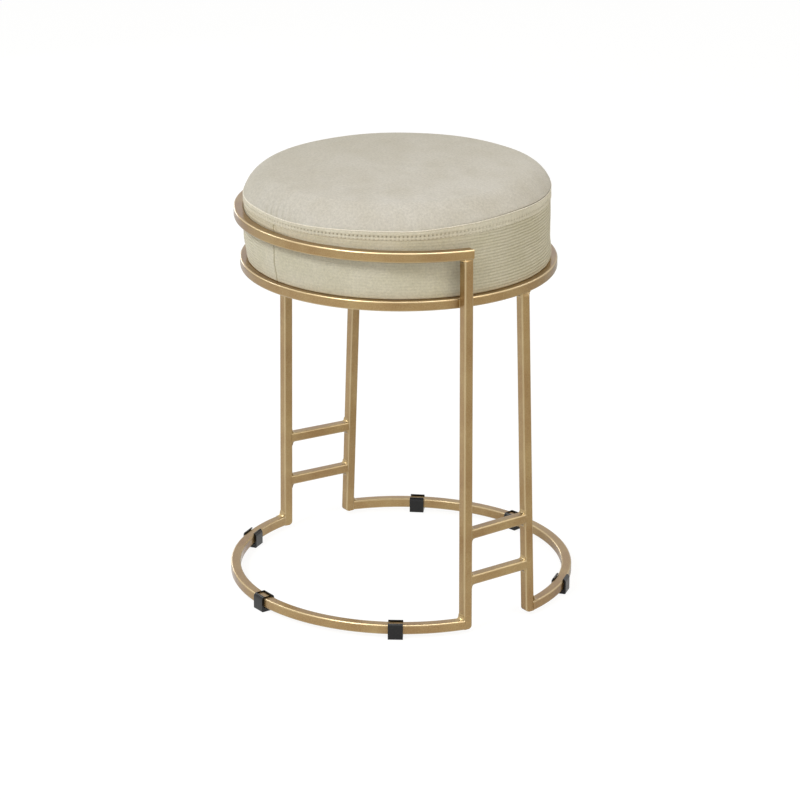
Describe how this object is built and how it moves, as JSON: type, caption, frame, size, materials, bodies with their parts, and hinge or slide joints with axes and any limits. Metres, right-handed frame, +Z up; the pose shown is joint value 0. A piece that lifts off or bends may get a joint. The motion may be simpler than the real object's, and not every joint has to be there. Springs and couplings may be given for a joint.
{
  "type": "vanity stool",
  "caption": "Round upholstered vanity stool on an open welded frame of slim square tube, with a half rail round the cushion and ladder rungs between paired legs.",
  "frame": {"origin": "on the floor, under the centre of the round base", "axes": "+Z up; -Y is the front, where the rail wraps the cushion; the paired legs stand at -X (left) and +X (right)"},
  "size_m": [0.3888, 0.4039, 0.4975],
  "materials": {
    "frame_tube": "champagne gold powder coat, satin",
    "top_fabric": "cream short-pile velvet",
    "side_fabric": "cream fine-ribbed velvet",
    "plywood": "bare plywood",
    "foam": "open-cell seat foam",
    "dust_cloth": "black non-woven lining",
    "zinc_steel": "zinc plated",
    "black_plastic": "moulded, satin"
  },
  "bodies": {
    "root": {"base_arc_front": "frame_tube", "base_arc_rear": "frame_tube", "front_leg_left": "frame_tube", "front_leg_right": "frame_tube", "rear_leg_left": "frame_tube", "rear_leg_right": "frame_tube", "rung_left_lower": "frame_tube", "rung_left_upper": "frame_tube", "rung_right_lower": "frame_tube", "rung_right_upper": "frame_tube", "seat_ring": "frame_tube", "cushion_rail": "frame_tube", "seat_tab_1": "frame_tube", "seat_tab_2": "frame_tube", "seat_tab_3": "frame_tube", "seat_tab_4": "frame_tube", "seat_board": "plywood", "foam_core": "foam", "top_cover": "top_fabric", "side_band": "side_fabric", "seam_welt": "side_fabric", "dust_cover": "dust_cloth", "seat_screw_1": "zinc_steel", "seat_screw_2": "zinc_steel", "seat_screw_3": "zinc_steel", "seat_screw_4": "zinc_steel", "t_nut_1": "zinc_steel", "t_nut_2": "zinc_steel", "t_nut_3": "zinc_steel", "t_nut_4": "zinc_steel", "foot_clip_1": "black_plastic", "foot_clip_2": "black_plastic", "foot_clip_3": "black_plastic", "foot_clip_4": "black_plastic", "foot_clip_5": "black_plastic", "foot_clip_6": "black_plastic"}
  },
  "joints": []
}
